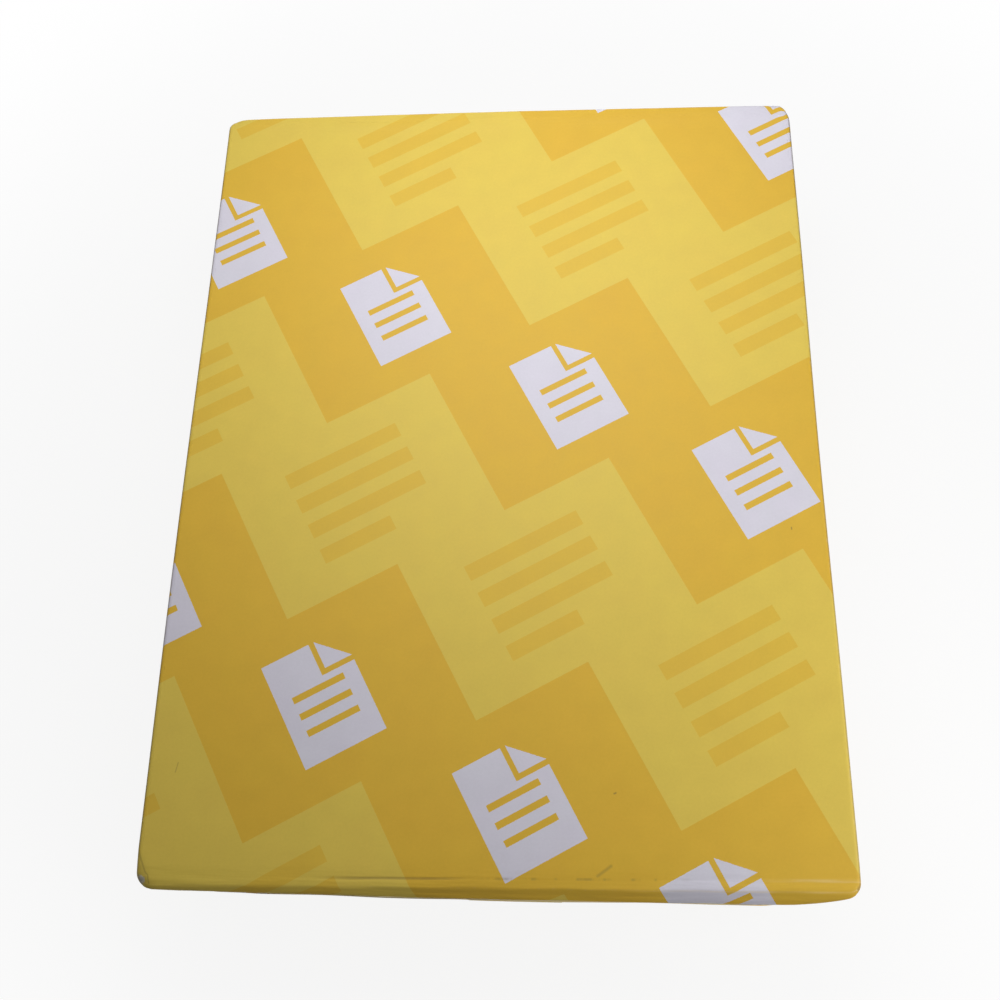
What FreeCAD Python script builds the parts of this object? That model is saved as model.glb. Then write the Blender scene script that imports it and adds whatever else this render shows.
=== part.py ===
"""A sealed ream of cardstock: a stack of letter-size sheets in one folded, glued paper wrapper.

The wrapper goes round the stack lengthways and laps over itself on the underside. At each short end
its sides are tucked in first, then the upper flap comes down and the lower flap is glued up over it.
The near end (-Y) is wrapped loosely and stands proud of the stack; the far end (+Y) is tight.

Units are millimetres. X runs across the sheets, +Y away along them, +Z up. The origin is the middle
of the pack's footprint, on the surface that it lies on.
"""

import FreeCAD, Part
import math
import os
from collections import namedtuple

from FreeCAD import Vector

# The stack of sheets
SHEET_WIDTH = 215.9  # letter size, across
SHEET_LENGTH = 279.4  # letter size, along
SHEET_COUNT = 250
SHEET_CALIPER = 0.24  # 65 lb cover stock

# The wrapper
WRAPPER_THICKNESS = 0.15
SIDE_SLACK = 0.8  # between each long side of the stack and the wrapper
LONG_EDGE_RADIUS = 1.2  # where the wrapper turns down along the long edges
LAP_WIDTH = 30.0  # lengthwise glued lap on the underside
LAP_OFFSET = 6.0  # middle of the lap, from the pack's centre line
FLAP_OVERLAP = 12.0  # how far the lower end flap covers the upper one
FLAP_LAYERS = 2  # thicknesses of wrapper in a flap, whose slanting edges are folded double
MITRE_ANGLE = 45.0  # the flaps' slanting edges, from level
FOLD_RADIUS = 0.7  # across the fold between an end's strip and its shoulder

# The loosely wrapped near end. A reach is a distance outwards from the stack's end.
NEAR_STRIP = 2.6  # nearly level strip between the stack's edge and the fold
NEAR_STRIP_DROP = 0.35
NEAR_SHOULDER_ANGLE = 42.0  # slope of the shoulder below the fold, from level
NEAR_REACH = 6.6  # furthest point of the bulge
NEAR_PEAK_X = 72.0  # where along the end the bulge is furthest out
NEAR_LEFT_REACH = 3.6
NEAR_RIGHT_REACH = 4.8
NEAR_CORNER_RADIUS = 4.2  # upright corners
NEAR_FOOT_STRIP = 1.2  # level strip under the end
NEAR_FOOT_ANGLE = 62.0  # slope up from the foot strip, from level

# The tightly wrapped far end
FAR_STRIP = 0.6
FAR_STRIP_DROP = 0.12
FAR_SHOULDER_ANGLE = 55.0
FAR_REACH = 2.6
FAR_PEAK_X = -18.0
FAR_LEFT_REACH = 1.3
FAR_RIGHT_REACH = 1.1
FAR_CORNER_RADIUS = 3.0
FAR_FOOT_STRIP = 0.4
FAR_FOOT_ANGLE = 65.0

End = namedtuple(
    "End",
    "side strip strip_drop shoulder_angle reach peak_x left_reach right_reach corner_radius"
    " foot_strip foot_angle",
)
NEAR = End(
    side=-1,
    strip=NEAR_STRIP,
    strip_drop=NEAR_STRIP_DROP,
    shoulder_angle=NEAR_SHOULDER_ANGLE,
    reach=NEAR_REACH,
    peak_x=NEAR_PEAK_X,
    left_reach=NEAR_LEFT_REACH,
    right_reach=NEAR_RIGHT_REACH,
    corner_radius=NEAR_CORNER_RADIUS,
    foot_strip=NEAR_FOOT_STRIP,
    foot_angle=NEAR_FOOT_ANGLE,
)
FAR = End(
    side=1,
    strip=FAR_STRIP,
    strip_drop=FAR_STRIP_DROP,
    shoulder_angle=FAR_SHOULDER_ANGLE,
    reach=FAR_REACH,
    peak_x=FAR_PEAK_X,
    left_reach=FAR_LEFT_REACH,
    right_reach=FAR_RIGHT_REACH,
    corner_radius=FAR_CORNER_RADIUS,
    foot_strip=FAR_FOOT_STRIP,
    foot_angle=FAR_FOOT_ANGLE,
)

half_length = SHEET_LENGTH / 2
half_width = SHEET_WIDTH / 2 + SIDE_SLACK + WRAPPER_THICKNESS
underside = WRAPPER_THICKNESS  # the lap's own thickness lifts the rest of the underside
top = underside + SHEET_COUNT * SHEET_CALIPER + 2 * WRAPPER_THICKNESS
upper_growth = FLAP_LAYERS * WRAPPER_THICKNESS  # how far the upper flap stands out
lower_growth = 2 * upper_growth  # the lower flap lies on the upper one
lap_growth = lower_growth + WRAPPER_THICKNESS
flap_depth = (top - underside + FLAP_OVERLAP) / 2
lap_left = LAP_OFFSET - LAP_WIDTH / 2
lap_right = LAP_OFFSET + LAP_WIDTH / 2
margin = 10.0  # how far cutting shapes run past what they cut


def out(end, distance):
    """The Y of a point that lies this far outwards from one end of the stack."""
    return end.side * (half_length + distance)


def prism(points, direction):
    """The solid that a closed polygon sweeps along a direction."""
    return Part.Face(Part.makePolygon(points + points[:1])).extrude(direction)


def end_prism(end, profile):
    """The solid that an outline on an end's panel, in X and Z, sweeps right through the panel."""
    y = out(end, -margin)
    depth = end.reach + lap_growth + 2 * margin
    return prism([Vector(x, y, z) for x, z in profile], Vector(0, end.side * depth, 0))


def edges_along(solid, direction):
    """The straight edges of a solid that run along a direction."""
    return [
        edge
        for edge in solid.Edges
        if isinstance(edge.Curve, Part.Line)
        and edge.tangentAt(edge.FirstParameter).cross(direction).Length < 1e-6
    ]


def end_profile(end, growth):
    """One end's outline seen from the long side, from the top down to the underside.

    Its shoulder and foot run on past the bulge, which the plan then cuts."""
    fold = end.strip + growth
    foot = end.foot_strip + growth
    past = end.reach + growth + margin
    shoulder_drop = (past - fold) * math.tan(math.radians(end.shoulder_angle))
    foot_rise = (past - foot) * math.tan(math.radians(end.foot_angle))
    return [
        (out(end, 0), top),
        (out(end, fold), top - end.strip_drop),
        (out(end, past), top - end.strip_drop - shoulder_drop),
        (out(end, past), underside + foot_rise),
        (out(end, foot), underside),
    ]


def side_view(growth):
    """The pack's outline seen from its long side, swept across its width."""
    outline = end_profile(NEAR, growth) + end_profile(FAR, growth)[::-1]
    wide = half_width + margin
    solid = prism([Vector(-wide, y, z) for y, z in outline], Vector(2 * wide, 0, 0))
    folds = [
        edge
        for edge in edges_along(solid, Vector(1, 0, 0))
        for end in (NEAR, FAR)
        if edge.CenterOfMass.isEqual(Vector(0, out(end, end.strip + growth), top - end.strip_drop), 1e-6)
    ]
    return solid.makeFillet(FOLD_RADIUS, folds)


def bulge(corner, peak):
    """Half of an end's bulge seen from above: an arc that runs parallel to X at its peak."""
    across = peak.x - corner.x
    rise = peak.y - corner.y
    radius = (across**2 + rise**2) / (2 * rise)
    half_turn = math.asin(across / radius) / 2
    middle = peak + Vector(-radius * math.sin(half_turn), radius * (math.cos(half_turn) - 1), 0)
    return Part.Arc(corner, middle, peak).toShape()


def plan(growth):
    """The pack's outline seen from above, swept up through its height."""
    edges = []
    for end in (NEAR, FAR):
        left = Vector(-half_width, out(end, end.left_reach + growth), 0)
        right = Vector(half_width, out(end, end.right_reach + growth), 0)
        peak = Vector(end.peak_x, out(end, end.reach + growth), 0)
        edges += [bulge(left, peak), bulge(right, peak)]
    for side in (-half_width, half_width):
        reaches = (NEAR.left_reach, FAR.left_reach) if side < 0 else (NEAR.right_reach, FAR.right_reach)
        start = Vector(side, out(NEAR, reaches[0] + growth), 0)
        finish = Vector(side, out(FAR, reaches[1] + growth), 0)
        edges.append(Part.LineSegment(start, finish).toShape())
    outline = Part.Wire(Part.__sortEdges__(edges))
    outline.translate(Vector(0, 0, underside - margin))
    solid = Part.Face(outline).extrude(Vector(0, 0, top - underside + 2 * margin))
    for end in (NEAR, FAR):
        corners = [
            edge
            for edge in edges_along(solid, Vector(0, 0, 1))
            if edge.CenterOfMass.y * end.side > 0 and abs(edge.CenterOfMass.x) > half_width - 1e-6
        ]
        solid = solid.makeFillet(end.corner_radius, corners)
    return solid


def section():
    """The pack's section across its width, swept along its length and past both ends."""
    long = half_length + max(NEAR_REACH, FAR_REACH) + lap_growth + margin
    corner = Vector(-half_width, -long, underside)
    solid = Part.makeBox(2 * half_width, 2 * long, top - underside, corner)
    return solid.makeFillet(LONG_EDGE_RADIUS, edges_along(solid, Vector(0, 1, 0)))


def pack(growth):
    """The wrapped stack, with both ends moved outwards by a growth."""
    return side_view(growth).common(plan(growth)).common(section())


def flap(end, growth, root, tip):
    """An end flap from its root down or up to its tip, with slanting edges from the corners."""
    inset = abs(tip - root) / math.tan(math.radians(MITRE_ANGLE))
    trapezium = [
        (-half_width, root),
        (half_width, root),
        (half_width - inset, tip),
        (-half_width + inset, tip),
    ]
    return pack(growth).common(end_prism(end, trapezium))


def end_lap(end):
    """The lengthwise lap where it runs up one end, on the lower flap."""
    tip = underside + flap_depth
    strip = [(lap_left, underside), (lap_right, underside), (lap_right, tip), (lap_left, tip)]
    return pack(lap_growth).common(end_prism(end, strip))


def underside_lap():
    """The lengthwise lap under the stack, which the pack lies on."""
    near_foot = out(NEAR, NEAR.foot_strip + lap_growth)
    far_foot = out(FAR, FAR.foot_strip + lap_growth)
    corner = Vector(lap_left, near_foot, 0)
    return Part.makeBox(LAP_WIDTH, far_foot - near_foot, underside + WRAPPER_THICKNESS, corner)


def wrapped_ream():
    """The whole sealed pack as one solid, with its footprint's middle at the origin."""
    solid = pack(0)
    for end in (NEAR, FAR):
        solid = solid.fuse(flap(end, upper_growth, top, top - flap_depth))
        solid = solid.fuse(flap(end, lower_growth, underside, underside + flap_depth))
        solid = solid.fuse(end_lap(end))
    solid = solid.fuse(underside_lap()).removeSplitter()
    solid.translate(Vector(0, -solid.BoundBox.Center.y, 0))
    return solid


os.makedirs("parts", exist_ok=True)
ream = wrapped_ream()
print("solids", len(ream.Solids), "faces", len(ream.Faces), "valid", ream.isValid())
print("volume", round(ream.Volume), "box", ream.BoundBox)
ream.exportStep("parts/wrapped_ream.step")
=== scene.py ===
"""The looks of a sealed ream of cardstock, and a small studio to see it in.

One printed sheet of paper is wrapped round the stack lengthways, lapped on the underside and folded shut
at both short ends. It is one closed mesh, which stands for the CAD model's wrapped_ream. The mesh starts
as a square block, on which the folds are cut and raised, and then the paper settles into its loose shape.

Lengths are metres. X runs across the pack, +Y away along it, and +Z up.
"""

import math
from collections import namedtuple

import bmesh
import bpy
from bpy.props import FloatProperty, FloatVectorProperty, PointerProperty
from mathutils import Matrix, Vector, noise


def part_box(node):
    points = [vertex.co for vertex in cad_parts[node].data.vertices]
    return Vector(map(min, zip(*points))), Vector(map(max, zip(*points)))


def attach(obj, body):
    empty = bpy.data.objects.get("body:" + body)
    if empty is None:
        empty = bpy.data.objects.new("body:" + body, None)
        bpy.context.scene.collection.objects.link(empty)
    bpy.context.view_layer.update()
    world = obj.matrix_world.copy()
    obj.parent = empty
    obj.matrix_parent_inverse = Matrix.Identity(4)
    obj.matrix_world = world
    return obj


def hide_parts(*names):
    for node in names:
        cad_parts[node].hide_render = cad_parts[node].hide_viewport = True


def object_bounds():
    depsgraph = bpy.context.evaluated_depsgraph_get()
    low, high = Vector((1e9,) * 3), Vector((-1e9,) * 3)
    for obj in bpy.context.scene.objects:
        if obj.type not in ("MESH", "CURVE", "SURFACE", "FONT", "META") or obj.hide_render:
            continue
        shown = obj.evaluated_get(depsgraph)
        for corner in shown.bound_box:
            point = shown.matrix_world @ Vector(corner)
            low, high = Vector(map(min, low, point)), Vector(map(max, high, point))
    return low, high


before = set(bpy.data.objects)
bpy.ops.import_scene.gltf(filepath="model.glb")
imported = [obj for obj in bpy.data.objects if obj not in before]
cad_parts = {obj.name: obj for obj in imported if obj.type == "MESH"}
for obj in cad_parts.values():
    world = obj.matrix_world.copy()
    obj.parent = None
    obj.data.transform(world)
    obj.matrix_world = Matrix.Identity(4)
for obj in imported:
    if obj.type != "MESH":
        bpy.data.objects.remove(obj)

bl_info = {
    "name": "Wrapped ream of cardstock",
    "version": (1, 0, 0),
    "blender": (4, 5, 0),
    "location": "3D View > Sidebar > Ream",
    "description": "Wraps a stack of cardstock in printed paper and lights it",
    "category": "Object",
}

MM = 0.001
CAD_LOW, CAD_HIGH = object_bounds()
PACK_LOW, PACK_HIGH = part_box("wrapped_ream")

PAPER = 0.15 * MM  # the wrapper's thickness
FLAP_RISE = 2 * PAPER  # a flap's slanting edges are folded double
UNDERSIDE = PACK_LOW.z + PAPER  # the lap's own thickness lifts the rest of the underside
TOP = PACK_HIGH.z
HALF_WIDTH = PACK_HIGH.x
SKIN = 0.01 * MM  # less than this apart counts as the same place

# An end of the pack, and where the edges of its sheets are. The strip is the level paper from there to the
# outer fold, in the middle and at both sides. The arris is that fold's own rounding, and the shoulder is
# the slope below it. A reach is how far the wall stands out from the sheets, at its peak and at both
# sides, and the foot is how far at the underside. The sag is the most that the wall falls in, and the dip
# is what the top falls by, over its length, towards the sheets' edges. The first two corners are the
# crushed upper ones, and the last is the rounding of both further down.
End = namedtuple(
    "End",
    "side sheets strip strip_left strip_right arris shoulder reach peak_x left_reach right_reach"
    " foot sag dip dip_length left_corner right_corner corner",
)
Corner = namedtuple("Corner", "across along fall")  # the size of a rounded corner, and its drop
NEAR_BULGE = 7.2 * MM  # from the sheets' edges to the furthest point of the near end
FAR_BULGE = 3.34 * MM
NEAR = End(
    side=-1,
    sheets=PACK_LOW.y + NEAR_BULGE,
    strip=3.2 * MM,
    strip_left=3.6 * MM,
    strip_right=2.8 * MM,
    arris=0.5 * MM,
    shoulder=math.radians(42),
    reach=6.5 * MM,
    peak_x=85.0 * MM,
    left_reach=4.6 * MM,
    right_reach=3.8 * MM,
    foot=1.2 * MM,
    sag=1.1 * MM,
    dip=0.5 * MM,
    dip_length=8.0 * MM,
    left_corner=Corner(5.4 * MM, 3.6 * MM, 0.3 * MM),
    right_corner=Corner(3.8 * MM, 3.4 * MM, 0.0),
    corner=3.6 * MM,
)
FAR = End(
    side=1,
    sheets=PACK_HIGH.y - FAR_BULGE,
    strip=0.6 * MM,
    strip_left=0.1 * MM,
    strip_right=0.5 * MM,
    arris=0.25 * MM,
    shoulder=math.radians(55),
    reach=2.6 * MM,
    peak_x=-18.0 * MM,
    left_reach=1.3 * MM,
    right_reach=1.1 * MM,
    foot=0.4 * MM,
    sag=0.4 * MM,
    dip=0.15 * MM,
    dip_length=5.0 * MM,
    left_corner=Corner(7.5 * MM, 4.5 * MM, 0.3 * MM),
    right_corner=Corner(3.9 * MM, 7.6 * MM, 0.3 * MM),
    corner=3.0 * MM,
)
ENDS = (NEAR, FAR)
SHOULDER_TWIST = math.radians(5)  # how much steeper a shoulder is at its left, and flatter at its right
SHOULDER_BLEND = 0.7 * MM  # the softness of the turn from a shoulder to its wall
FOOT_SLOPE = math.radians(62)
FOOT_BLEND = 2.5 * MM
FOOT_RADIUS = 1.0 * MM
LOOSE_FOLD = 0.12  # how uneven an end's outer fold is, in strips

# Forms of the near end alone
CREASE_SHARE = 0.14  # half the width of the crease at the sheets' edges, in strips
CREASE_OUT = 0.43 * MM  # how far the crease lies outside the sheets' near edge, at its middle
CREASE_SLANT = 0.0068  # and how much less far it lies for each unit further right
CREASE_DEEP = (-46 * MM, -14 * MM)  # where across the pack the crease has its whole depth
CREASE_EDGE = 14 * MM  # over what length it grows shallower on both sides
CREASE_RIDGE = (66 * MM, 92 * MM)  # where it turns into a low ridge
STRIP_FALL = 0.42 * MM  # what the strip falls by over its width, at its left
STRIP_LIFT = 0.5 * MM  # and how much less it falls by at its right
STRIP_TWIST = 80 * MM  # from the middle to where that is reached
DENT_LENGTH = 10.5 * MM  # the folded-down facet at the near left corner, along the side
DENT_WIDTH = 4.4 * MM  # and along the end
DENT_INSET = 0.4 * MM  # from the outer fold to the facet
DENT_SLOPE = 0.28

# How the pack as a whole is out of square
LEFT_LEAN = 1.5 * MM  # how far the left side leans in at the far end
RIGHT_WAIST = 0.4 * MM  # how far the right side is drawn in at its middle
WAIST_LENGTH = 50.0 * MM  # and how far from there this reaches
FAR_SLIP = 0.6 * MM  # how far the far end's left part lies nearer than its right one
LEAN_SPAN = (-60 * MM, 150 * MM)  # where the lean starts and stops growing, along the pack
SLIP_SPAN = (-20 * MM, 90 * MM)  # and the slip, from the middle to the left

# The lengths over which the loose shapes fade out
CORNER_FADE = 30.0 * MM  # a crushed corner, down its upright edge
ARRIS_FADE = 24.0 * MM  # an outer fold's greater roundness at a corner, along the fold
END_FADE = 14.0 * MM  # an end's bulge, along the long sides
TURN_FADE = 4.0 * MM  # the top's own shape, down the walls
ROOT_FADE = 5.0 * MM  # a flap's thickness, towards its fold
SAG_FADE = 9.0 * MM  # an end wall's slackness, towards its upper and lower edges
TOP_FADE = 12.0 * MM  # the waves of the top, towards the sheets' edges
SIDE_END_FADE = 20.0 * MM  # the waves of the long sides, towards the ends
SIDE_EDGE_FADE = 15.0 * MM  # and towards the top and the underside

# From one slack wave of the paper to the next, roughly
FOLD_WAVE = 13.0 * MM
END_WAVE = 34.0 * MM
PUCKER = 12.0 * MM
PUCKER_BAND = (3.0 * MM, 14.0 * MM)  # the depths below the top between which puckers are whole
PUCKER_EDGE = 8.0 * MM  # over what length they fade above and below
TOP_WAVE = 45.0 * MM
SIDE_WAVE = 40.0 * MM

# The cuts that make the mesh
ARRIS_ROWS = (0.3, 0.65, 1.0)  # across the rounding of an end's outer fold, in roundings
STRIP_ROWS = (0.4, 0.6, 0.74, 0.87, 1.0, 1.13)  # across the rest of an end's strip, in strips
STEPS_ACROSS = (0.8 * MM, 3.2 * MM)  # the finest and the coarsest step from each long side
STEPS_ALONG = (0.5 * MM, 3.6 * MM)
STEPS_DOWN = (0.12 * MM, 3.0 * MM)
STEPS_UP = (0.3 * MM, 3.0 * MM)
EDGE_SEGMENTS = 4
MERGE = 0.002 * MM  # corners nearer to each other than this become one
SMOOTH_BELOW = math.radians(35)
ALONG_AXIS = 0.9  # a direction with at least this share along an axis counts as lying along it
NUDGE = 5 * SKIN  # from a raised part's edge back onto that part

# The studio. The lamps stand close, so that their light falls off over the pack.
Lamp = namedtuple("Lamp", "name place size watts")
LAMPS = (
    Lamp("key_lamp", (0.005, 0.14, 0.30), 0.26, 0.72),
    Lamp("side_lamp", (0.26, -0.14, 0.17), 0.22, 0.38),
)
FILL_LIGHT = 0.09  # the room's own light
WHITE = (1.0, 1.0, 1.0, 1.0)
FLOOR_SIZE = 8.0
FLOOR_PAINT = (0.8, 0.8, 0.8, 1.0)
FLOOR_GLOW = 0.89  # how much of the floor's look is plain white near the pack. The rest is lit paint.
SHADOW_REACH = (0.15, 0.36)  # from the pack's middle, where the floor starts and stops turning white
CAMERA_PLACE = (19.57 * MM, -142.46 * MM, 402.94 * MM)
CAMERA_TURN = (20.01, 2.86, 0.79)  # degrees
CAMERA_LENS = 39.05  # this and the sensor's width are numbers of millimetres
CAMERA_SENSOR = 36.0
CAMERA_NEAREST = 0.01


class ReamShape(bpy.types.PropertyGroup):
    """How the paper is folded and how loosely it lies"""

    edge_radius: FloatProperty(
        name="Long edge radius", description="Rounding of the folds along the sheets",
        subtype="DISTANCE", unit="LENGTH", default=1.2 * MM, min=0.5 * MM, max=3 * MM,
    )
    lap_left: FloatProperty(
        name="Lap's hidden edge", description="Where the lap under the stack starts, across the pack",
        subtype="DISTANCE", unit="LENGTH", default=-9.0 * MM,
    )
    lap_right: FloatProperty(
        name="Lap's glued edge", description="Where the lap under the stack stops, across the pack",
        subtype="DISTANCE", unit="LENGTH", default=21.0 * MM,
    )
    flap_overlap: FloatProperty(
        name="Flap overlap", description="How far an end's lower flap covers the upper one",
        subtype="DISTANCE", unit="LENGTH", default=12.0 * MM, min=2 * MM, max=40 * MM,
    )
    crease: FloatProperty(
        name="Crease", description="Depth of the crease along the near edge of the sheets",
        subtype="DISTANCE", unit="LENGTH", default=0.16 * MM, max=0.5 * MM,
    )
    top_waves: FloatProperty(
        name="Top waves", description="Unevenness of the paper on the top",
        subtype="DISTANCE", unit="LENGTH", default=0.16 * MM, max=0.5 * MM,
    )
    side_waves: FloatProperty(
        name="Side waves", description="Unevenness of the paper on the long sides",
        subtype="DISTANCE", unit="LENGTH", default=0.35 * MM, max=1 * MM,
    )


class ReamLooks(bpy.types.PropertyGroup):
    """The colours of the print, of its painted shade and painted highlight, and the size and place of its
    blocks
    """

    gold: FloatVectorProperty(
        name="Gold", description="The darker blocks", subtype="COLOR", size=3,
        default=(0.755, 0.473, 0.05),
    )
    yellow: FloatVectorProperty(
        name="Yellow", description="The lighter blocks", subtype="COLOR", size=3,
        default=(0.775, 0.577, 0.098),
    )
    soft_gold: FloatVectorProperty(
        name="Soft gold", description="The bars on yellow", subtype="COLOR", size=3,
        default=(0.76, 0.507, 0.062),
    )
    white: FloatVectorProperty(
        name="White", description="The sheets on gold", subtype="COLOR", size=3,
        default=(0.735, 0.71, 0.80),
    )
    core: FloatVectorProperty(
        name="Paper core", description="Where the print is worn or cut", subtype="COLOR", size=3,
        default=(0.76, 0.73, 0.64),
    )
    # painted highlight: the pale colour painted where light glints on the near fold and the crease's ridge
    glint: FloatVectorProperty(
        name="Painted glint", description="Painted highlight along the near fold and the crease's ridge", subtype="COLOR", size=3,
        default=(0.86, 0.66, 0.30),
    )
    # painted shade along the long folds and in the creases, and also the colour of the dark specks and the
    # scratch
    shade_and_grime: FloatVectorProperty(
        name="Shade and grime", description="Painted shade along the long folds and in creases, and dark specks and a scratch", subtype="COLOR", size=3,
        default=(0.18, 0.12, 0.05),
    )
    block_width: FloatProperty(
        name="Block width", description="Length of a printed block, along its row",
        subtype="DISTANCE", unit="LENGTH", default=80 * MM,
    )
    row_height: FloatProperty(
        name="Row height", description="Height of a row of blocks",
        subtype="DISTANCE", unit="LENGTH", default=58 * MM,
    )
    shift_across: FloatProperty(
        name="Shift across", description="Moves the print along its rows",
        subtype="DISTANCE", unit="LENGTH", default=8 * MM,
    )
    shift_up: FloatProperty(
        name="Shift up", description="Moves the print across its rows",
        subtype="DISTANCE", unit="LENGTH", default=20 * MM,
    )
    tilt: FloatProperty(
        name="Tilt", description="Slant of the rows", subtype="ANGLE", unit="ROTATION",
        default=math.radians(28),
    )


def fold_line(end):
    """The Y of the fold between an end's strip and its shoulder, before the paper settles."""
    return end.sheets + end.side * end.strip


def flap_depth(shape):
    """How far a flap reaches from its fold over an end's wall."""
    return (TOP - UNDERSIDE + shape.flap_overlap) / 2


# How the paper settles


def smooth_step(value, low, high):
    """0 below low, 1 above high, and a soft ramp between."""
    share = min(max((value - low) / (high - low), 0), 1)
    return share * share * (3 - 2 * share)


def hump(value, low, high, edge):
    """1 between low and high, 0 well outside them, and soft ramps as wide as the edge between."""
    return smooth_step(value, low - edge, low) * (1 - smooth_step(value, high, high + edge))


def soft_least(a, b, blend):
    """The lesser of two lengths, rounded off where they meet."""
    share = min(max(0.5 + (b - a) / (2 * blend), 0), 1)
    return b + (a - b) * share - blend * share * (1 - share)


def waves(x, y, z, size):
    """A soft unevenness from 0 to 1, whose waves are about one size apart."""
    return min(max(0.5 + 0.8 * noise.noise(Vector((x, y, z)) / size), 0), 1)


def round_corner(a, b, across, along):
    """Moves a point of a square corner onto a round one. It is measured from the corner's inner side.

    Also gives how far the point lies towards the outside, from 0 to 1."""
    if a <= 0 or b <= 0:
        return a, b, 0
    a, b = a / across, b / along
    far_out = max(a, b)
    share = far_out / math.hypot(a, b)
    return a * share * across, b * share * along, smooth_step(min(a, b) * far_out, 0, 1)


def strip_width(end, x):
    """How far an end's outer fold stands out from the sheets."""
    edge_width = end.strip_left if x < 0 else end.strip_right
    share = x / HALF_WIDTH
    loose = LOOSE_FOLD * end.strip * (waves(x, 0, 0, FOLD_WAVE) - 0.5)
    return end.strip + (edge_width - end.strip) * share * share + loose


def bulge(end, x):
    """How far an end's wall stands out from the sheets."""
    edge = -HALF_WIDTH if x < end.peak_x else HALF_WIDTH
    edge_reach = end.left_reach if x < end.peak_x else end.right_reach
    share = (x - end.peak_x) / (edge - end.peak_x)
    return end.reach - (end.reach - edge_reach) * share * share


def stands_out(end, x, depth, height):
    """How far an end stands out from the sheets at a depth below its top and a height above its foot."""
    steeper = SHOULDER_TWIST * -x / HALF_WIDTH
    shoulder = strip_width(end, x) + depth / math.tan(end.shoulder + steeper)
    foot = end.foot + height / math.tan(FOOT_SLOPE)
    wall = soft_least(shoulder, bulge(end, x), SHOULDER_BLEND)
    return soft_least(wall, foot, FOOT_BLEND)


def wall_sag(end, x, depth, height):
    """How far an end's wall lies in from its bulge: long waves, and a few puckers under the shoulder."""
    long_waves = waves(x, end.side, height * 1.5, END_WAVE)
    puckers = waves(x * 1.8, end.side, height * 0.7, PUCKER)
    puckers *= hump(depth, *PUCKER_BAND, PUCKER_EDGE)
    free = smooth_step(min(depth, height), 0, SAG_FADE)
    return end.sag * (0.7 * long_waves + 0.3 * puckers) * free


def arris_at(end, x, shape):
    """The rounding of an end's outer fold, which grows to that of the long edges at the corners."""
    to_corner = smooth_step(abs(x), HALF_WIDTH - ARRIS_FADE, HALF_WIDTH - shape.edge_radius)
    return end.arris + (shape.edge_radius - end.arris) * to_corner


def corner_at(end, x, depth):
    """The rounding of an end's upright corner at this depth."""
    crushed = end.left_corner if x < 0 else end.right_corner
    plain = smooth_step(depth, 0, CORNER_FADE)
    across = crushed.across + (end.corner - crushed.across) * plain
    along = crushed.along + (end.corner - crushed.along) * plain
    return Corner(across, along, crushed.fall * (1 - plain))


def dent_fall(x, y):
    """How far the near left corner is pressed down, beyond a slanting crease."""
    across, along = DENT_WIDTH, DENT_LENGTH
    from_side = x + HALF_WIDTH
    from_end = y - (fold_line(NEAR) + DENT_INSET)
    beyond = (1 - from_side / across - from_end / along) / math.hypot(1 / across, 1 / along)
    return DENT_SLOPE * max(0, beyond)


def top_fall(end, x, y, past, shape):
    """How far the top lies below its highest level, at a distance in from the edge of the sheets."""
    slack = shape.top_waves * waves(x, y, 0, TOP_WAVE) * smooth_step(past, 0, TOP_FADE)
    if end is FAR:
        return slack + end.dip * max(0, 1 - max(past, 0) / end.dip_length) ** 2
    out = CREASE_OUT - CREASE_SLANT * x + past
    crease_half = CREASE_SHARE * end.strip
    deep = 0.2 + 0.8 * hump(x, *CREASE_DEEP, CREASE_EDGE) - 0.7 * smooth_step(x, *CREASE_RIDGE)
    crease = shape.crease * deep * max(0, 1 - abs(out) / crease_half)
    if out < 0:
        strip_fall = STRIP_FALL - STRIP_LIFT * smooth_step(x, 0, STRIP_TWIST)
        return end.dip + strip_fall * -out / end.strip + crease
    return end.dip * max(0, 1 - out / end.dip_length) ** 2 + slack + crease


def out_of_square(x, y):
    """Where a point lies once the long sides have drawn in and the far end's left part has slipped."""
    if x < 0:
        pull = LEFT_LEAN * smooth_step(y, *LEAN_SPAN)
    else:
        pull = RIGHT_WAIST * math.exp(-((y / WAIST_LENGTH) ** 2))
    slip = FAR_SLIP * smooth_step(-x, *SLIP_SPAN) * smooth_step(y, 0, PACK_HIGH.y)
    return x - pull * x / HALF_WIDTH, y - slip


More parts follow.
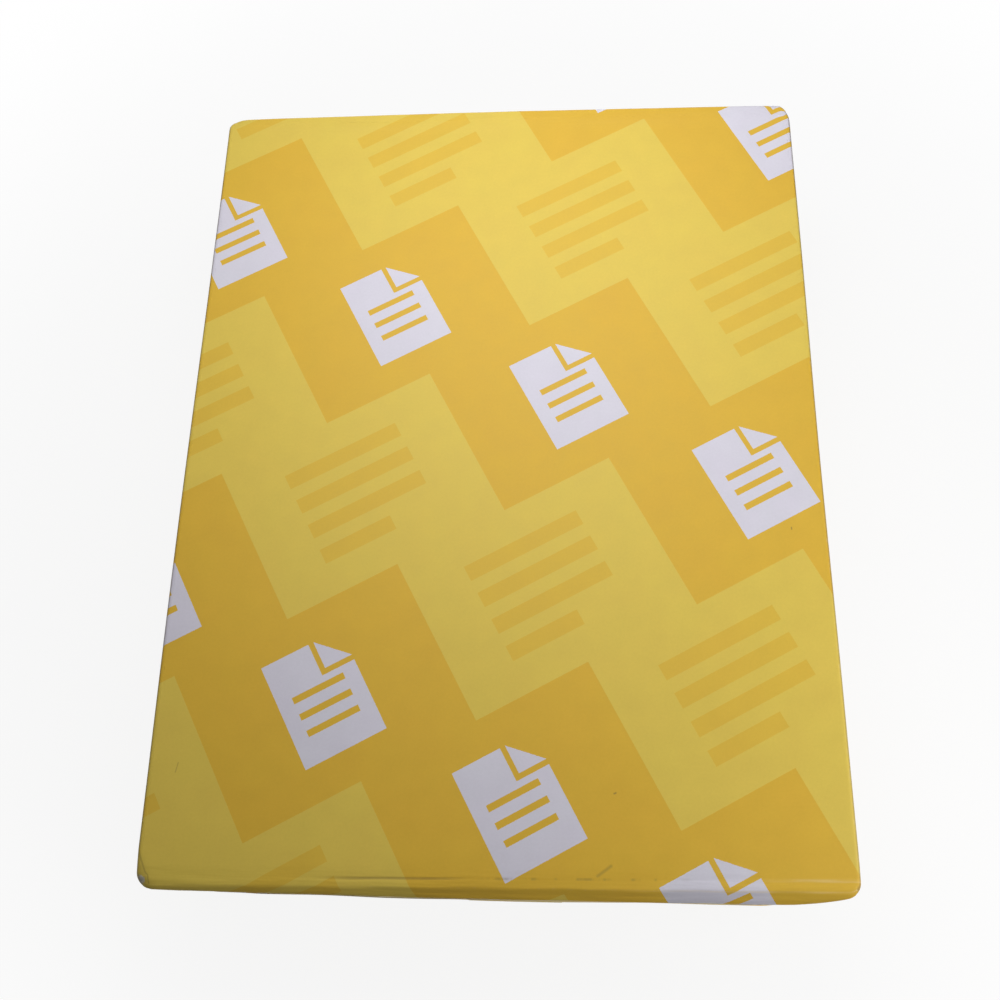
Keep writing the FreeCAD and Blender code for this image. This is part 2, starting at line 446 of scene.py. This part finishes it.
def settled(point, shape):
    """Where a point of the square block comes to lie when the paper has settled."""
    x, y, z = point
    end = NEAR if y < 0 else FAR
    inside = (fold_line(end) - y) * end.side
    layer = max(0, -inside)
    inside = max(0, inside)
    lap = max(0, UNDERSIDE - z)
    depth = TOP - z
    height = max(0, z - UNDERSIDE)
    on_side = abs(x) > HALF_WIDTH - SKIN

    # the outer fold, the foot and the upright corners are round
    arris = arris_at(end, x, shape)
    a, b, _ = round_corner(arris - inside, arris - depth, arris, arris)
    inside, depth = arris - a, arris - b
    a, b, _ = round_corner(FOOT_RADIUS - inside, FOOT_RADIUS - height, FOOT_RADIUS, FOOT_RADIUS)
    inside, height = FOOT_RADIUS - a, FOOT_RADIUS - b
    corner = corner_at(end, x, depth)
    wide = abs(x) - (HALF_WIDTH - corner.across)
    a, b, crushed = round_corner(wide, corner.along - inside, corner.across, corner.along)
    x = math.copysign(HALF_WIDTH - corner.across + a, x)
    inside = corner.along - b
    level = TOP - depth if depth < height else UNDERSIDE + height

    # the ends stand out from the sheets
    below = smooth_step(depth, 0, TURN_FADE)
    fade_length = end.strip + (END_FADE - end.strip) * below
    fade = max(0, 1 - inside / fade_length) ** (1 + below)
    shift = stands_out(end, x, depth, height) - end.strip - wall_sag(end, x, depth, height)
    rooted = smooth_step(min(depth, height), 0, ROOT_FADE)
    y = fold_line(end) + end.side * (shift * fade - inside + layer * rooted)

    # the top falls a little towards its near and far edges and its corners, and the long sides go slack
    fall = top_fall(end, x, y, inside - end.strip, shape) + corner.fall * crushed + dent_fall(x, y)
    level -= fall * (1 - below)
    if on_side:
        free = smooth_step(min(depth, height), 0, SIDE_EDGE_FADE) * smooth_step(inside, 0, SIDE_END_FADE)
        x -= math.copysign(shape.side_waves * waves(x, y, z * 1.6, SIDE_WAVE) * free, x)
    return Vector((*out_of_square(x, y), level - lap))


# The mesh, made as by hand


def start_block(name, low, high):
    """A cube of the wrapped stack's size at its place, its size and place kept in its mesh."""
    bpy.ops.object.select_all(action="DESELECT")
    bpy.ops.mesh.primitive_cube_add(size=1, location=(low + high) / 2, scale=high - low)
    bpy.ops.object.transform_apply(location=True, rotation=True, scale=True)
    block = bpy.context.object
    block.name = name
    block.data.name = name
    return block


def pick(block, test, kind="FACE"):
    """Selects the faces whose middle and normal pass a test, or the edges whose middle and direction do."""
    bpy.ops.mesh.select_all(action="DESELECT")
    bpy.ops.mesh.select_mode(type=kind)
    mesh = bmesh.from_edit_mesh(block.data)
    found = 0
    for part in mesh.edges if kind == "EDGE" else mesh.faces:
        if kind == "EDGE":
            first, last = (v.co for v in part.verts)
            middle, direction = (first + last) / 2, (last - first).normalized()
        else:
            middle, direction = part.calc_center_median(), part.normal
        if test(middle, direction):
            part.select_set(True)
            found += 1
    mesh.select_flush_mode()
    bmesh.update_edit_mesh(block.data)
    if not found:
        raise RuntimeError(f"nothing to select on {block.name}")


def cut(place, direction):
    """Cuts what is selected along a plane."""
    bpy.ops.mesh.bisect(plane_co=place, plane_no=direction)


def cut_through(place, direction):
    """Cuts the whole block along a plane."""
    bpy.ops.mesh.select_all(action="SELECT")
    cut(place, direction)


def spread(start, stop, fine, coarse, growth=1.3):
    """Places from start to stop whose steps grow from fine to coarse."""
    step = fine
    place = start + step
    while place < stop:
        yield place
        step = min(step * growth, coarse)
        place += step


def cut_grid():
    """Cuts the block into small faces, finest along its folds."""
    bpy.ops.mesh.select_mode(type="FACE")
    for inset in spread(0, HALF_WIDTH, *STEPS_ACROSS):
        for side in (-1, 1):
            cut_through((side * (HALF_WIDTH - inset), 0, 0), (1, 0, 0))
    for end in ENDS:
        for inside in [row * end.arris for row in ARRIS_ROWS] + [row * end.strip for row in STRIP_ROWS]:
            cut_through((0, fold_line(end) - end.side * inside, 0), (0, 1, 0))
        for inside in spread(STRIP_ROWS[-1] * end.strip, abs(fold_line(end)), *STEPS_ALONG):
            cut_through((0, fold_line(end) - end.side * inside, 0), (0, 1, 0))
    middle = (TOP + UNDERSIDE) / 2
    for depth in spread(0, TOP - middle, *STEPS_DOWN):
        cut_through((0, 0, TOP - depth), (0, 0, 1))
    for height in spread(0, middle - UNDERSIDE, *STEPS_UP):
        cut_through((0, 0, UNDERSIDE + height), (0, 0, 1))


def faces_end(normal, end):
    return normal.y * end.side > ALONG_AXIS


def faces_down(normal):
    return normal.z < -ALONG_AXIS


def in_flap(place, root, shape):
    """Whether a place on an end's wall lies in the flap that folds down or up from its root."""
    depth = abs(place.z - root)
    return depth < min(flap_depth(shape), HALF_WIDTH - abs(place.x))


def in_lap(place, shape):
    return shape.lap_left < place.x < shape.lap_right


def cut_flaps(block, shape):
    """Cuts the outlines of the flaps and the lap into the ends and the underside."""
    laps = (shape.lap_left, shape.lap_right)
    for end in ENDS:
        for root, down in ((TOP, -1), (UNDERSIDE, 1)):
            for side in (-1, 1):
                pick(block, lambda middle, normal: faces_end(normal, end))
                cut((side * HALF_WIDTH, 0, root), (side, 0, down))
        pick(block, lambda middle, normal: faces_end(normal, end))
        cut((0, 0, UNDERSIDE + flap_depth(shape)), (0, 0, 1))
        for x in laps:
            pick(block, lambda middle, normal: faces_end(normal, end))
            cut((x, 0, 0), (1, 0, 0))
    for x in laps:
        pick(block, lambda middle, normal: faces_down(normal))
        cut((x, 0, 0), (1, 0, 0))


def raise_faces(block, test, way):
    """Extrudes the faces that pass a test."""
    pick(block, test)
    bpy.ops.mesh.extrude_region_move(TRANSFORM_OT_translate={"value": way})


def raise_flaps(block, shape):
    """Gives the flaps and the lap their thickness."""
    for end in ENDS:

        def lower_flap(middle, normal):
            return faces_end(normal, end) and in_flap(middle, UNDERSIDE, shape)

        def either_flap(middle, normal):
            return faces_end(normal, end) and in_flap(middle, TOP, shape) or lower_flap(middle, normal)

        def end_lap(middle, normal):
            return lower_flap(middle, normal) and in_lap(middle, shape)

        raise_faces(block, either_flap, (0, end.side * FLAP_RISE, 0))
        raise_faces(block, lower_flap, (0, end.side * FLAP_RISE, 0))
        raise_faces(block, end_lap, (0, end.side * PAPER, 0))

    def under_lap(middle, normal):
        return faces_down(normal) and in_lap(middle, shape) and middle.z < UNDERSIDE + SKIN

    raise_faces(block, under_lap, (0, 0, -PAPER))


# The flat sheet that the wrapper is folded from. Its places are a UV map, in metres.


def way_round(x, z, left, radius):
    """How far round the pack's section a point lies from the middle of the top, less than 0 on the left."""
    quarter = radius * math.pi / 2
    flat = HALF_WIDTH - radius
    upright = TOP - UNDERSIDE - 2 * radius
    beyond = abs(x) - flat
    if z >= TOP - radius:
        turn = math.atan2(max(beyond, 0), z - TOP + radius)
        return math.copysign(min(abs(x), flat) + radius * turn, x)
    if z > UNDERSIDE + radius and beyond > 0:
        return math.copysign(flat + quarter + TOP - radius - z, x)
    if beyond > 0:
        turn = math.atan2(UNDERSIDE + radius - z, beyond)
        return math.copysign(flat + quarter + upright + radius * turn, x)
    across = flat + x if left else flat - x
    return math.copysign(flat + 2 * quarter + upright + across, -1 if left else 1)


def sheet_place(point, middle, shape):
    """Where a corner of a face lies on the flat sheet. The face is told by its middle."""
    radius = shape.edge_radius
    end = NEAR if middle.y < 0 else FAR
    fold = fold_line(end)
    left = middle.x < shape.lap_right
    past = (middle.y - fold) * end.side
    if past < -SKIN:
        return way_round(point.x, point.z, left, radius), point.y
    depth = max(TOP - point.z, 0)
    height = max(point.z - UNDERSIDE, 0)
    flat = HALF_WIDTH - radius
    if in_flap(middle, UNDERSIDE, shape):
        foot = way_round(min(max(point.x, -flat), flat), UNDERSIDE, left, radius)
        return foot, fold + end.side * height
    if in_flap(middle, TOP, shape):
        out = stands_out(end, point.x, depth, height) - end.strip
        return point.x, fold + end.side * math.hypot(depth, out)
    side = math.copysign(HALF_WIDTH, point.x)
    level = min(max(point.z, UNDERSIDE + radius), TOP - radius)
    return way_round(side, level, left, radius), fold + end.side * (HALF_WIDTH - abs(point.x))


def is_cut_edge(middle, normal):
    """Whether a face is the sheet's bare edge: the tip of a flap, or the side of the lap."""
    end = NEAR if middle.y < 0 else FAR
    past_end = (middle.y - fold_line(end)) * end.side > SKIN
    tip = past_end and abs(normal.z) > ALONG_AXIS
    lap_side = abs(normal.x) > ALONG_AXIS and abs(middle.x) < HALF_WIDTH / 2
    return tip or lap_side


def lay_out_sheet(block, shape):
    """Gives every face its place on the flat sheet, and marks the sheet's cut edges."""
    mesh = block.data
    places = mesh.uv_layers.new(name="flat_sheet")
    cut_edge = mesh.attributes.new("cut_edge", "FLOAT", "FACE")
    for face in mesh.polygons:
        cut_edge.data[face.index].value = float(is_cut_edge(face.center, face.normal))
        # a flap's or the lap's edge counts as part of it
        inner = face.center - Vector((face.normal.x, 0, face.normal.z)) * NUDGE
        for corner in face.loop_indices:
            point = mesh.vertices[mesh.loops[corner].vertex_index].co
            places.data[corner].uv = sheet_place(point, inner, shape)


def make_wrapper(shape):
    """The whole wrapper as one closed mesh."""
    low = Vector((-HALF_WIDTH, fold_line(NEAR), UNDERSIDE))
    high = Vector((HALF_WIDTH, fold_line(FAR), TOP))
    block = start_block("printed_wrapper", low, high)
    bpy.ops.object.mode_set(mode="EDIT")
    pick(block, lambda middle, direction: abs(direction.y) > ALONG_AXIS, "EDGE")
    bpy.ops.mesh.bevel(offset=shape.edge_radius, segments=EDGE_SEGMENTS, affect="EDGES")
    cut_grid()
    cut_flaps(block, shape)
    raise_flaps(block, shape)
    bpy.ops.object.mode_set(mode="OBJECT")
    lay_out_sheet(block, shape)
    for vertex in block.data.vertices:
        vertex.co = settled(vertex.co, shape)
    bpy.ops.object.mode_set(mode="EDIT")
    bpy.ops.mesh.select_all(action="SELECT")
    bpy.ops.mesh.remove_doubles(threshold=MERGE)
    bpy.ops.mesh.normals_make_consistent(inside=False)
    bpy.ops.object.mode_set(mode="OBJECT")
    bpy.ops.object.shade_smooth_by_angle(angle=SMOOTH_BELOW)
    return block


# Materials


class Value:
    """A number or colour that changes over a surface. Sums on a number add Math nodes."""

    def __init__(self, finish, socket):
        self.finish = finish
        self.socket = socket

    def math(self, operation, *others):
        links = dict(enumerate((self, *others)))
        return self.finish.node("ShaderNodeMath", {"operation": operation}, links)

    def __add__(self, other):
        return self.math("ADD", other)

    __radd__ = __add__

    def __mul__(self, other):
        return self.math("MULTIPLY", other)

    __rmul__ = __mul__

    def __sub__(self, other):
        return self.math("SUBTRACT", other)

    def __rsub__(self, other):
        return self.math("MULTIPLY", -1) + other

    def __truediv__(self, other):
        return self.math("DIVIDE", other)

    def __abs__(self):
        return self.math("ABSOLUTE")

    def __pow__(self, other):
        return self.math("POWER", other)

    def __lt__(self, other):
        return self.math("LESS_THAN", other)

    def __gt__(self, other):
        return self.math("GREATER_THAN", other)

    def most(self, other):
        return self.math("MAXIMUM", other)

    def floor(self):
        return self.math("FLOOR")

    def fraction(self):
        return self.math("FRACT")

    def ramp(self, low, high):
        """0 at low, 1 at high, and a soft ramp between. Low may be the higher."""
        settings = {"interpolation_type": "SMOOTHSTEP"}
        links = {"Value": self, "From Min": min(low, high), "From Max": max(low, high)}
        if low > high:
            links.update({"To Min": 1.0, "To Max": 0.0})
        return self.finish.node("ShaderNodeMapRange", settings, links)


class Finish:
    """The nodes of a material or a world."""

    def __init__(self, owner):
        owner.use_nodes = True
        self.owner = owner
        self.tree = owner.node_tree
        self.tree.nodes.clear()

    def node(self, kind, settings=None, links=None, output=0):
        """Adds a node, sets it up, and fills or links its sockets."""
        node = self.tree.nodes.new(kind)
        for name, value in (settings or {}).items():
            setattr(node, name, value)
        for place, value in (links or {}).items():
            socket = node.inputs[place]
            if isinstance(value, Value):
                self.tree.links.new(value.socket, socket)
            else:
                socket.default_value = value
        return Value(self, node.outputs[output]) if node.outputs else None

    def mix(self, share, first, second, blend="MIX"):
        """A colour that goes from the first to the second as share goes from 0 to 1."""
        settings = {"data_type": "RGBA", "blend_type": blend}
        links = {0: share, 6: full_colour(first), 7: full_colour(second)}
        return self.node("ShaderNodeMix", settings, links, output=2)

    def noise(self, place, size, detail=2.0, roughness=0.5, stretch=(1, 1, 1)):
        """Noise from 0 to 1 whose patches are about one size across."""
        scale = [share / size for share in stretch]
        scaled = self.node("ShaderNodeVectorMath", {"operation": "MULTIPLY"}, {0: place, 1: scale})
        links = {"Vector": scaled, "Scale": 1.0, "Detail": detail, "Roughness": roughness}
        return self.node("ShaderNodeTexNoise", {}, links)

    def looked_at(self):
        """1 for what is seen, straight, mirrored or through glass, and 0 for light on things."""
        rays = ("Is Camera Ray", "Is Glossy Ray", "Is Transmission Ray")
        straight, mirrored, through = (self.node("ShaderNodeLightPath", output=ray) for ray in rays)
        return straight.most(mirrored).most(through)

    def shown(self, shader):
        self.node("ShaderNodeOutputMaterial", {}, {"Surface": shader})
        return self.owner


def full_colour(colour):
    """A written colour with its fourth number, which a socket needs. One from a node stays as it is."""
    return colour if isinstance(colour, Value) else (*colour, 1.0)


def sheet_icon(x, y):
    """1 on a solid sheet with a turned corner and four lines left open in it, drawn round its middle."""
    half_wide, half_tall, corner, gap = 14.0 * MM, 18.0 * MM, 9.5 * MM, 1.8 * MM
    pitch, open_line, margin = 5.8 * MM, 2.2 * MM, 5.0 * MM
    out = (abs(x) - half_wide).most(abs(y) - half_tall)
    from_x = x - (half_wide - corner)
    from_y = y - (half_tall - corner)
    slant = (from_x + from_y - corner) / math.sqrt(2)
    square = (from_x > -gap) * (from_y > -gap)
    sheet = (out < 0) * (1 - square)
    turned = (from_x > 0) * (from_y > 0) * (slant < 0)
    lines = abs(((half_tall - y) / pitch).fraction() - 0.5) < open_line / pitch / 2
    inner = (abs(x) < half_wide - margin) * (y < half_tall - 2 * pitch) * (y > pitch - half_tall)
    return (sheet * (1 - lines * inner)).most(turned)


def ruled_bars(x, y):
    """1 on four broad bars, the last one short, drawn round their middle."""
    pitch, tall, half_wide, shorter = 10.0 * MM, 5.4 * MM, 21.0 * MM, 16.0 * MM
    from_foot = y + 2 * pitch
    bar = abs((from_foot / pitch).fraction() - 0.5) < tall / pitch / 2
    right_end = half_wide - (from_foot < pitch) * shorter
    return bar * (from_foot > 0) * (from_foot < 4 * pitch) * (x > -half_wide) * (x < right_end)


def print_colour(finish, s, t, ragged, looks):
    """Slanting rows of two-colour blocks, each row half a block further on than the one below.

    A white sheet lies in each gold block and darker bars in each yellow one."""
    cos, sin = math.cos(looks.tilt), math.sin(looks.tilt)
    wide, tall = looks.block_width, looks.row_height
    up = t * cos - s * sin + (looks.shift_up + ragged)
    row = (up / tall).floor()
    across = s * cos + t * sin + row * (wide / 2) + (looks.shift_across + ragged)
    column = (across / wide).floor()
    yellow = (column * 0.5).fraction() > 0.25
    x = across - (column + 0.5) * wide
    y = up - (row + 0.5) * tall
    colour = finish.mix(yellow, looks.gold, looks.yellow)
    colour = finish.mix(ruled_bars(x, y) * yellow, colour, looks.soft_gold)
    return finish.mix(sheet_icon(x, y) * (1 - yellow), colour, looks.white)


def drawn(mark, s, t):
    """How dark a soft-edged mark is at a place."""
    (s0, t0), (s1, t1) = mark.start, mark.end
    length = math.hypot(s1 - s0, t1 - t0)
    along_s, along_t = (s1 - s0) / length, (t1 - t0) / length
    along = (s - s0) * along_s + (t - t0) * along_t
    off = (t - t0) * along_s - (s - s0) * along_t
    past = (abs(along - length / 2) - length / 2).most(0)
    return ((off * off + past * past) ** 0.5).ramp(mark.width, 0) * mark.dark


# A short dark line on the flat sheet, from a place across and along it to another
Mark = namedtuple("Mark", "start end width dark")
SCRATCH = Mark((-99.8 * MM, -108.0 * MM), (-99.2 * MM, -105.0 * MM), 0.25 * MM, 0.4)
RIGHT_SPECK = Mark((97.1 * MM, -28.4 * MM), (97.1 * MM, -27.8 * MM), 0.4 * MM, 0.6)
NEAR_SPECK = Mark((36.9 * MM, -113.2 * MM), (37.4 * MM, -113.0 * MM), 0.45 * MM, 0.6)
# painted shade along the slanting crease at the edge of the near left dent
DENT_EDGE = Mark(
    (-HALF_WIDTH, fold_line(NEAR) + DENT_LENGTH),
    (-HALF_WIDTH + DENT_WIDTH, fold_line(NEAR) + DENT_INSET),
    0.5 * MM,
    0.35,
)
# painted shade in a short crease that branches from the near crease
CREASE_BRANCH = Mark((31.5 * MM, 1.0 * MM), (35.5 * MM, 3.8 * MM), 0.8 * MM, 0.35)  # from the crease

# Where a point of the paper lies: on the flat sheet, on the pack, across and along the flat sheet, and
# out from the slanting crease at the sheets' near edge
Spot = namedtuple("Spot", "flat body s t off_crease")


def spot_on_paper(finish):
    """The places that the marks and the wear go by."""
    flat = finish.node("ShaderNodeUVMap", {"uv_map": "flat_sheet"})
    body = finish.node("ShaderNodeTexCoord", output="Object")
    s, t = (finish.node("ShaderNodeSeparateXYZ", {}, {0: flat}, output=axis) for axis in "XY")
    off_crease = t - (NEAR.sheets - CREASE_OUT) - s * CREASE_SLANT
    return Spot(flat, body, s, t, off_crease)


def crease_shade_and_marks(finish, spot):
    """How dark the fine marks are: painted shade in the broken crease, in a short crease branching from it
    and along the dent's edge, and a scratch and two specks.
    """
    s = spot.s
    broken = finish.noise(spot.flat, 5 * MM, detail=3.0, stretch=(1, 0.15, 1))
    whole_part = s.ramp(-56 * MM, -38 * MM) * s.ramp(-4 * MM, -20 * MM) * 0.45
    broken_part = broken.ramp(0.48, 0.6) * s.ramp(-8 * MM, 4 * MM) * s.ramp(62 * MM, 50 * MM) * 0.3
    on_crease = abs(spot.off_crease).ramp(0.6 * MM, 0.1 * MM)
    dark = on_crease * whole_part.most(broken_part) * (broken * 0.6 + 0.7)
    dark = dark.most(drawn(CREASE_BRANCH, s, spot.off_crease))
    for mark in (DENT_EDGE, SCRATCH, RIGHT_SPECK, NEAR_SPECK):
        dark = dark.most(drawn(mark, s, spot.t))
    return dark


def on_fold(spot, end):
    """1 along an end's outer fold."""
    return abs(spot.t - fold_line(end)).ramp(0.6 * MM, 0.0)


def on_long_fold(spot, place):
    """1 along the two long folds that lie this far from the middle of the flat sheet."""
    return abs(abs(spot.s) - place).ramp(1.0 * MM, 0.2 * MM)


def painted_glint(finish, spot):
    """Painted highlight: how pale the near fold and the crease's ridge are painted on the top, where light
    glints on them, more so towards the right.
    """
    s = spot.s
    streaks = finish.noise(spot.flat, 1.6 * MM, detail=3.0, stretch=(0.12, 1.5, 1))
    on_top = abs(s).ramp(HALF_WIDTH + 1.5 * MM, HALF_WIDTH)
    fold = on_fold(spot, NEAR) * s.ramp(15 * MM, 106 * MM)
    ridge = abs(spot.off_crease).ramp(0.8 * MM, 0.1 * MM) * s.ramp(74 * MM, 98 * MM)
    return fold.most(ridge) * on_top * (streaks.ramp(0.34, 0.6) * 0.7 + 0.3) * 0.42


def bare_core(finish, spot, radius):
    """How far the print is worn off, along the folds and at the near left tip."""
    scuffs = finish.noise(spot.body, 2.2 * MM, detail=4.0, roughness=0.7)
    quarter = radius * math.pi / 2
    upper = HALF_WIDTH - radius + quarter / 2
    lower = upper + quarter + TOP - UNDERSIDE - 2 * radius
    long_folds = on_long_fold(spot, upper) * 0.5 + on_long_fold(spot, lower)
    end_folds = on_fold(spot, FAR) * 0.5 + on_fold(spot, NEAR) * 0.15
    worn_folds = (long_folds + end_folds) * scuffs.ramp(0.48, 0.75) * 0.4

    frayed = finish.noise(spot.body, 1.1 * MM, detail=4.0, roughness=0.7) * 1.6 * MM
    tip = Vector((-HALF_WIDTH + 1.7 * MM, fold_line(NEAR) + 1.0 * MM, TOP - 1.1 * MM))
    links = {0: spot.body, 1: tip}
    from_tip = finish.node("ShaderNodeVectorMath", {"operation": "DISTANCE"}, links, output="Value")
    return worn_folds.most((from_tip + frayed).ramp(2.6 * MM, 1.8 * MM) * 0.85)


def edge_painted_shade(spot, radius, flecks):
    """Painted shade: how dark the long sides are painted just below their upper edges, where the paper
    rounds away from the light.
    """
    past_edge = abs(spot.s) - (HALF_WIDTH - radius)
    band = past_edge.ramp(0.25 * MM, 1.0 * MM) * past_edge.ramp(3.0 * MM, 1.2 * MM)
    return band * (flecks * 0.4 + 0.3)


def printed_paper(looks, shape):
    """Coated printed paper, a little uneven, worn along its folds and white at its cut edges, with painted
    shade in its creases and below its long upper edges and a painted highlight on its near fold.
    """
    finish = Finish(bpy.data.materials.new("printed_wrapper_paper"))
    spot = spot_on_paper(finish)
    flat = spot.flat
    ragged = (finish.noise(flat, 0.5 * MM) - 0.5) * 0.25 * MM  # how far the print's outlines stray
    colour = print_colour(finish, spot.s, spot.t, ragged, looks)

    # unevenness of the ink and of the paper under it
    clouds = finish.noise(flat, 9 * MM, detail=3.0)
    flecks = finish.noise(flat, 0.9 * MM, detail=3.0, roughness=0.6)
    tone = (clouds - 0.5) * 0.10 + (flecks - 0.5) * 0.08 + 1
    warmth = (finish.noise(flat, 16 * MM) - 0.5) * 0.05 + 1
    tones = finish.node("ShaderNodeCombineColor", {}, {0: tone, 1: tone * warmth, 2: tone})
    colour = finish.mix(1.0, colour, tones, blend="MULTIPLY")

    # painted shade in the creases and below the long edges, a painted highlight on the near fold, marks,
    # wear, and the paper's white core at its cut edges
    dark = crease_shade_and_marks(finish, spot)
    worn = bare_core(finish, spot, shape.edge_radius)
    core = finish.node("ShaderNodeAttribute", {"attribute_name": "cut_edge"}, output="Fac")
    # painted shade in the creases and along the dent's edge, and the dark scratch and specks
    colour = finish.mix(dark, colour, looks.shade_and_grime)
    # painted shade along the long sides, just below their upper edges
    colour = finish.mix(edge_painted_shade(spot, shape.edge_radius, flecks), colour, looks.shade_and_grime)
    # painted highlight along the near fold and the crease's ridge
    colour = finish.mix(painted_glint(finish, spot), colour, looks.glint)
    colour = finish.mix(worn, colour, looks.core)
    colour = finish.mix(core * 0.8, colour, looks.core)

    # the surface: fibres, a faint unevenness, and soft creases where the paper is folded or loose
    fibres = finish.noise(flat, 0.35 * MM, roughness=0.6, stretch=(1, 0.6, 1))
    cockle = finish.noise(flat, 3.0 * MM, detail=1.0)
    pulled = finish.noise(flat, 5 * MM, detail=3.0, stretch=(0.12, 1, 1))
    loose = abs(spot.t).ramp(abs(fold_line(NEAR)) - 9 * MM, abs(fold_line(NEAR)) - 1 * MM)
    height = fibres * 0.005 + cockle * 0.012 + pulled * loose * 0.5 - dark * 0.05
    normal = finish.node("ShaderNodeBump", {}, {"Height": height, "Distance": MM, "Strength": 1.0})
    roughness = (flecks - 0.5) * 0.12 + (clouds - 0.5) * 0.10 + worn * 0.25 + core * 0.3 + 0.5
    surface = {
        "Base Color": colour,
        "Roughness": roughness,
        "Normal": normal,
        "IOR": 1.48,
        "Specular IOR Level": 0.22,
    }
    return finish.shown(finish.node("ShaderNodeBsdfPrincipled", {}, surface))


# The studio


def pale_floor():
    """A matt pale floor that keeps the shadow near the pack and looks white further out."""
    finish = Finish(bpy.data.materials.new("pale_floor"))
    place = finish.node("ShaderNodeTexCoord", output="Object")
    away = finish.node("ShaderNodeVectorMath", {"operation": "LENGTH"}, {0: place}, output="Value")
    paint = finish.node("ShaderNodeBsdfDiffuse", {}, {"Color": FLOOR_PAINT})
    glow = finish.node("ShaderNodeEmission", {}, {"Color": WHITE, "Strength": 1.0})
    share = finish.looked_at() * (away.ramp(*SHADOW_REACH) * (1 - FLOOR_GLOW) + FLOOR_GLOW)
    return finish.shown(finish.node("ShaderNodeMixShader", {}, {0: share, 1: paint, 2: glow}))


def pale_room():
    """A world that lights softly from all round and looks white."""
    world = bpy.data.worlds.new("pale_room")
    room = Finish(world)
    soft = room.node("ShaderNodeBackground", {}, {"Color": WHITE, "Strength": FILL_LIGHT})
    white = room.node("ShaderNodeBackground", {}, {"Color": WHITE, "Strength": 1.0})
    both = room.node("ShaderNodeMixShader", {}, {0: room.looked_at(), 1: soft, 2: white})
    room.node("ShaderNodeOutputWorld", {}, {"Surface": both})
    return world


def add_lamp(lamp):
    """A square soft lamp that faces the pack's middle and isn't seen itself."""
    light = bpy.data.lights.new(lamp.name, "AREA")
    light.shape = "SQUARE"
    light.size = lamp.size
    light.energy = lamp.watts
    holder = bpy.data.objects.new(lamp.name, light)
    holder.location = lamp.place
    middle = Vector((0, 0, TOP / 2))
    holder.rotation_euler = (middle - Vector(lamp.place)).to_track_quat("-Z", "Y").to_euler()
    holder.visible_camera = False
    bpy.context.scene.collection.objects.link(holder)


def add_camera():
    """A camera that looks down on the pack from its near end."""
    camera = bpy.data.cameras.new("camera")
    camera.lens = CAMERA_LENS
    camera.sensor_width = CAMERA_SENSOR
    camera.clip_start = CAMERA_NEAREST
    holder = bpy.data.objects.new("camera", camera)
    holder.location = CAMERA_PLACE
    holder.rotation_euler = [math.radians(angle) for angle in CAMERA_TURN]
    bpy.context.scene.collection.objects.link(holder)
    bpy.context.scene.camera = holder


class REAM_OT_wrapper(bpy.types.Operator):
    """Folds the printed wrapper round the stack"""

    bl_idname = "ream.wrapper"
    bl_label = "Printed wrapper"

    def execute(self, context):
        shape = context.scene.ream_shape
        wrapper = make_wrapper(shape)
        wrapper.data.materials.append(printed_paper(context.scene.ream_looks, shape))
        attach(wrapper, "root")
        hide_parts("wrapped_ream")
        return {"FINISHED"}


class REAM_OT_studio(bpy.types.Operator):
    """Sets up the floor, the lamps and the camera"""

    bl_idname = "ream.studio"
    bl_label = "Studio"

    def execute(self, context):
        bpy.ops.object.select_all(action="DESELECT")
        bpy.ops.mesh.primitive_plane_add(size=FLOOR_SIZE, location=(0, 0, CAD_LOW.z))
        bpy.ops.object.transform_apply(location=True, rotation=True, scale=True)
        floor = context.object
        floor.name = "floor"
        floor.data.materials.append(pale_floor())
        context.scene.world = pale_room()
        for lamp in LAMPS:
            add_lamp(lamp)
        add_camera()
        context.scene.view_settings.view_transform = "Standard"
        return {"FINISHED"}


OPERATORS = (REAM_OT_wrapper, REAM_OT_studio)


class REAM_PT_panel(bpy.types.Panel):
    """Lists the ream's settings and what makes it"""

    bl_idname = "REAM_PT_panel"
    bl_label = "Ream of cardstock"
    bl_space_type = "VIEW_3D"
    bl_region_type = "UI"
    bl_category = "Ream"

    def draw(self, context):
        for group in (context.scene.ream_shape, context.scene.ream_looks):
            for name in group.__annotations__:
                self.layout.prop(group, name)
        for operator in OPERATORS:
            self.layout.operator(operator.bl_idname)


CLASSES = (ReamShape, ReamLooks, *OPERATORS, REAM_PT_panel)


def register():
    for kind in CLASSES:
        bpy.utils.register_class(kind)
    bpy.types.Scene.ream_shape = PointerProperty(type=ReamShape)
    bpy.types.Scene.ream_looks = PointerProperty(type=ReamLooks)


def unregister():
    del bpy.types.Scene.ream_looks
    del bpy.types.Scene.ream_shape
    for kind in reversed(CLASSES):
        bpy.utils.unregister_class(kind)


def main():
    register()
    bpy.ops.ream.wrapper()
    bpy.ops.ream.studio()


if __name__ == "__main__":
    main()
